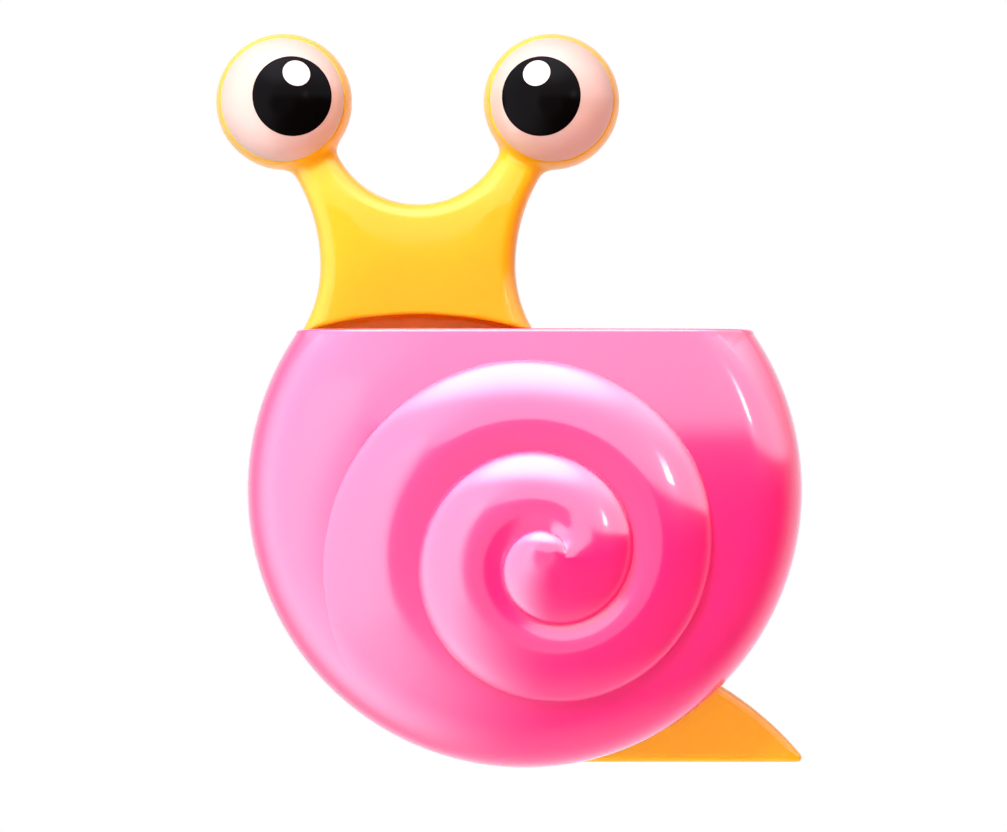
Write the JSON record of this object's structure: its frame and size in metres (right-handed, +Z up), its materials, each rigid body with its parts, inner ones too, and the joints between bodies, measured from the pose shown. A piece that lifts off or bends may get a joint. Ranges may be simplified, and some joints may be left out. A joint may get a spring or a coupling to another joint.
{
  "type": "wall-hung toothbrush holder",
  "caption": "Snail-shaped wall holder: an open-topped spiral shell cup hangs on a flat body with goggle eyes, held up by suction cups.",
  "frame": {"origin": "middle of the top suction cup's lip, on the wall plane", "axes": "+Z up the wall, +Y into the wall, +X to the right as seen from in front"},
  "size_m": [0.1408, 0.0683, 0.1749],
  "materials": {
    "suction_cup": "clear soft vinyl, smooth",
    "body": "glossy warm yellow",
    "screw": "zinc-plated",
    "eye_white": "glossy white",
    "pupil": "glossy black",
    "glint": "glossy white",
    "shell": "glossy, slightly translucent pink"
  },
  "bodies": {
    "wall_fixings": {"suction_cup_top": "suction_cup", "suction_cup_lower_left": "suction_cup", "suction_cup_lower_right": "suction_cup"},
    "body": {"body_front": "body", "body_rear": "body", "body_screws": "screw", "left_eye_dome": "eye_white", "right_eye_dome": "eye_white", "left_pupil": "pupil", "right_pupil": "pupil", "left_eye_glint": "glint", "right_eye_glint": "glint"},
    "cup": {"shell_front": "shell", "shell_back": "shell"}
  },
  "joints": [
    {"name": "body_unhook", "type": "slide", "parent": "wall_fixings", "child": "body", "axis": [0, 0, 1], "range_m": [0, 0.008]},
    {"name": "cup_lift", "type": "slide", "parent": "body", "child": "cup", "axis": [0, -0.7071, 0.7071], "range_m": [0, 0.05]}
  ]
}
